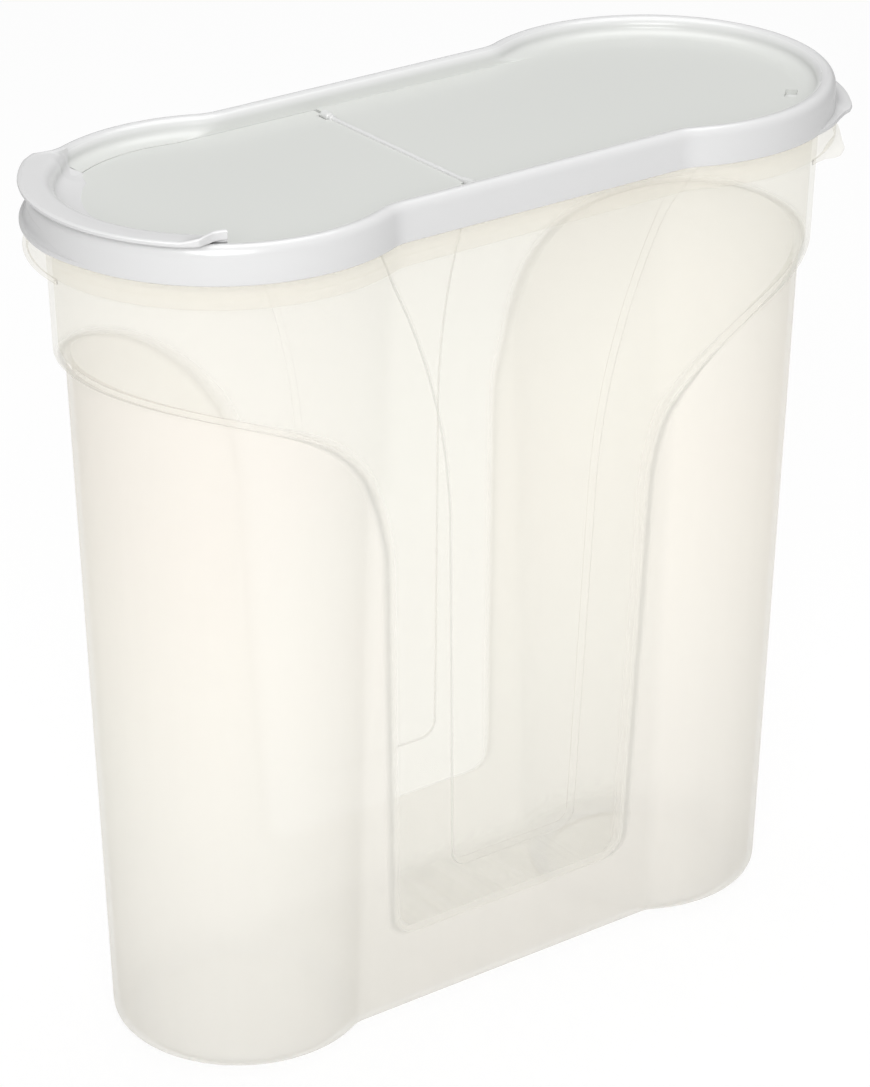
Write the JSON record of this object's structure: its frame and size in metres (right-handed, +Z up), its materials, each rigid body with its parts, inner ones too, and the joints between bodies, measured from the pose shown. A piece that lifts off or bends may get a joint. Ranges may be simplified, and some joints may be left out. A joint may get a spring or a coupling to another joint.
{
  "type": "cereal container with flip spout",
  "caption": "Tall dog-bone food keeper with a flared translucent tub, a press-on lid with a rounded bead, and a hinged flap that flips up to pour from one round end.",
  "frame": {"origin": "on the ground under the middle of the tub", "axes": "+Z up; +X along the length, away from the pouring end; +Y across the width"},
  "size_m": [0.274, 0.1108, 0.2747],
  "materials": {
    "tub": "translucent, frosted below and clearer in the window",
    "lid": "white, semi-gloss",
    "flap": "white, semi-gloss"
  },
  "bodies": {
    "tub": {"tub": "tub"},
    "lid": {"lid": "lid"},
    "flap": {"flap": "flap"}
  },
  "joints": [
    {"name": "lid_lift", "type": "slide", "parent": "tub", "child": "lid", "axis": [0, 0, 1], "range_m": [0, 0.06]},
    {"name": "flap_hinge", "type": "hinge", "parent": "lid", "child": "flap", "pos_m": [-0.017, 0, 0.2665], "axis": [0, 1, 0], "range_deg": [0, 168]}
  ]
}
